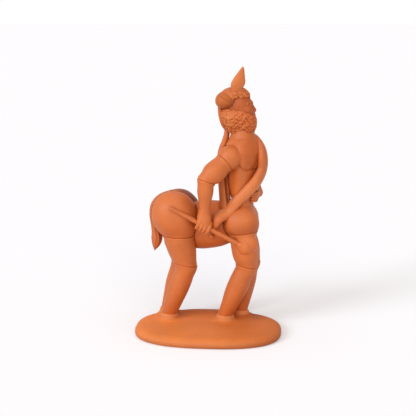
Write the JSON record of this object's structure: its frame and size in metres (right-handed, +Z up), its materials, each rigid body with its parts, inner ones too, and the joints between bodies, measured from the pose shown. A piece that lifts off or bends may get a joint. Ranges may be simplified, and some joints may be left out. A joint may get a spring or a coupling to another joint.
{
  "type": "centaur statuette",
  "caption": "Matte terracotta centaur on an oval plinth, with human-like legs, a sash and a club, made of pegged moulded pieces. Ornament for a shelf or table.",
  "frame": {"origin": "middle of the plinth's flat underside", "axes": "+X the way the front legs face, +Y to the figure's left, +Z up"},
  "size_m": [0.139, 0.1002, 0.2495],
  "materials": {
    "terracotta": "matte unglazed fired clay"
  },
  "bodies": {
    "root": {"base_plinth": "terracotta", "club_shaft": "terracotta", "haunch_right": "terracotta", "haunch_left": "terracotta", "hip_right": "terracotta", "hip_left": "terracotta", "barrel": "terracotta", "hind_thigh_right": "terracotta", "hind_thigh_left": "terracotta", "fore_thigh_right": "terracotta", "fore_thigh_left": "terracotta", "hind_shin_right": "terracotta", "hind_shin_left": "terracotta", "fore_shin_right": "terracotta", "fore_shin_left": "terracotta", "hind_foot_right": "terracotta", "hind_foot_left": "terracotta", "fore_foot_right": "terracotta", "fore_foot_left": "terracotta", "tail": "terracotta", "shoulder_right": "terracotta", "shoulder_left": "terracotta", "torso": "terracotta", "head": "terracotta", "neck": "terracotta", "upper_arm_right": "terracotta", "upper_arm_left": "terracotta", "forearm_right": "terracotta", "forearm_left": "terracotta", "hand_right": "terracotta", "club_head": "terracotta", "sash_front": "terracotta", "sash_back": "terracotta", "hand_left": "terracotta", "hair": "terracotta", "hair_bun": "terracotta", "beard": "terracotta", "ear_right": "terracotta", "ear_left": "terracotta"}
  },
  "joints": []
}
